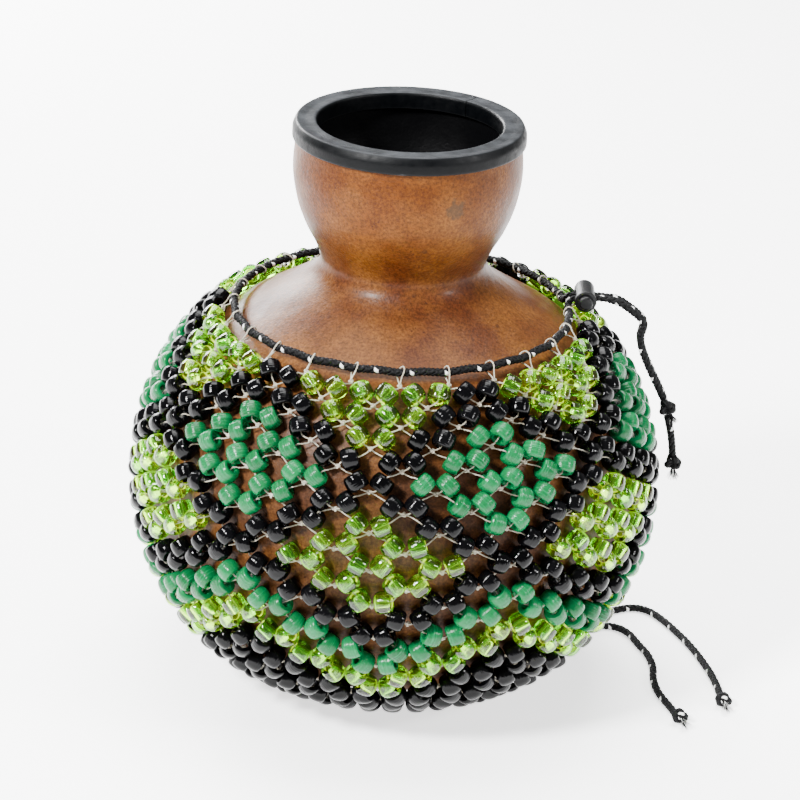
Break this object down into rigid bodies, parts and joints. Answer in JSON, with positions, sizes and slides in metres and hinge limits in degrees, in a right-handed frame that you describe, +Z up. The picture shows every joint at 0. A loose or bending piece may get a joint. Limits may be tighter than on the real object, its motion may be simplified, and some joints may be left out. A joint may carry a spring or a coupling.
{
  "type": "shekere",
  "caption": "Hollow gourd rattle with a cup mouth, standing in a net of plastic beads held by two drawstrings and a sprung cord lock.",
  "frame": {"origin": "middle of the gourd's foot, on the surface it stands on", "axes": "+Z up through the mouth, the middle of the front bead motif near -Y, the cord lock at +X"},
  "size_m": [0.2475, 0.2138, 0.2293],
  "materials": {
    "gourd": "satin",
    "rim": "matte",
    "bead_lime": "gloss",
    "bead_green": "gloss",
    "bead_black": "gloss",
    "string": "matte",
    "cord": "matte",
    "lock": "satin",
    "spring": "satin"
  },
  "bodies": {
    "gourd": {"gourd_shell": "gourd", "mouth_rim": "rim"},
    "net": {"black_beads_row_01": "bead_black", "black_beads_row_02": "bead_black", "black_beads_row_03": "bead_black", "black_beads_row_04": "bead_black", "black_beads_row_05": "bead_black", "black_beads_row_06": "bead_black", "black_beads_row_07": "bead_black", "black_beads_row_08": "bead_black", "black_beads_row_09": "bead_black", "black_beads_row_10": "bead_black", "black_beads_row_11": "bead_black", "black_beads_row_12": "bead_black", "black_beads_row_13": "bead_black", "black_beads_row_15": "bead_black", "black_beads_row_16": "bead_black", "black_beads_row_17": "bead_black", "black_beads_row_18": "bead_black", "black_beads_row_19": "bead_black", "black_beads_row_20": "bead_black", "bottom_drawstring": "cord", "bottom_ring_knot": "cord", "bottom_string_loops": "string", "bottom_tail_a": "cord", "bottom_tail_a_knot": "cord", "bottom_tail_b": "cord", "bottom_tail_b_knot": "cord", "green_diamond_beads": "bead_green", "green_zigzag_beads": "bead_green", "lime_diamond_beads": "bead_lime", "lime_triangle_beads": "bead_lime", "lime_zigzag_beads": "bead_lime", "net_knots_a": "string", "net_knots_b": "string", "net_knots_c": "string", "net_strands_a": "string", "net_strands_b": "string", "net_strands_c": "string", "net_strands_d": "string", "net_strands_e": "string", "top_drawstring": "cord", "top_string_loops": "string", "top_tail_long": "cord", "top_tail_long_knot": "cord", "top_tail_short": "cord", "top_tail_short_knot": "cord"},
    "cord_lock": {"lock_barrel": "lock", "lock_spring": "spring"},
    "plunger": {"lock_plunger": "lock"}
  },
  "joints": [
    {"name": "net_twist", "type": "hinge", "parent": "gourd", "child": "net", "pos_m": [0, 0, 0], "axis": [0, 0, 1], "continuous": true},
    {"name": "lock_slide", "type": "slide", "parent": "net", "child": "cord_lock", "axis": [1, 0, 0], "range_m": [0, 0.004]},
    {"name": "button_press", "type": "slide", "parent": "cord_lock", "child": "plunger", "axis": [0, 1, 0], "range_m": [0, 0.002], "stiffness_N_per_m": 300, "springref_m": -0.002}
  ]
}
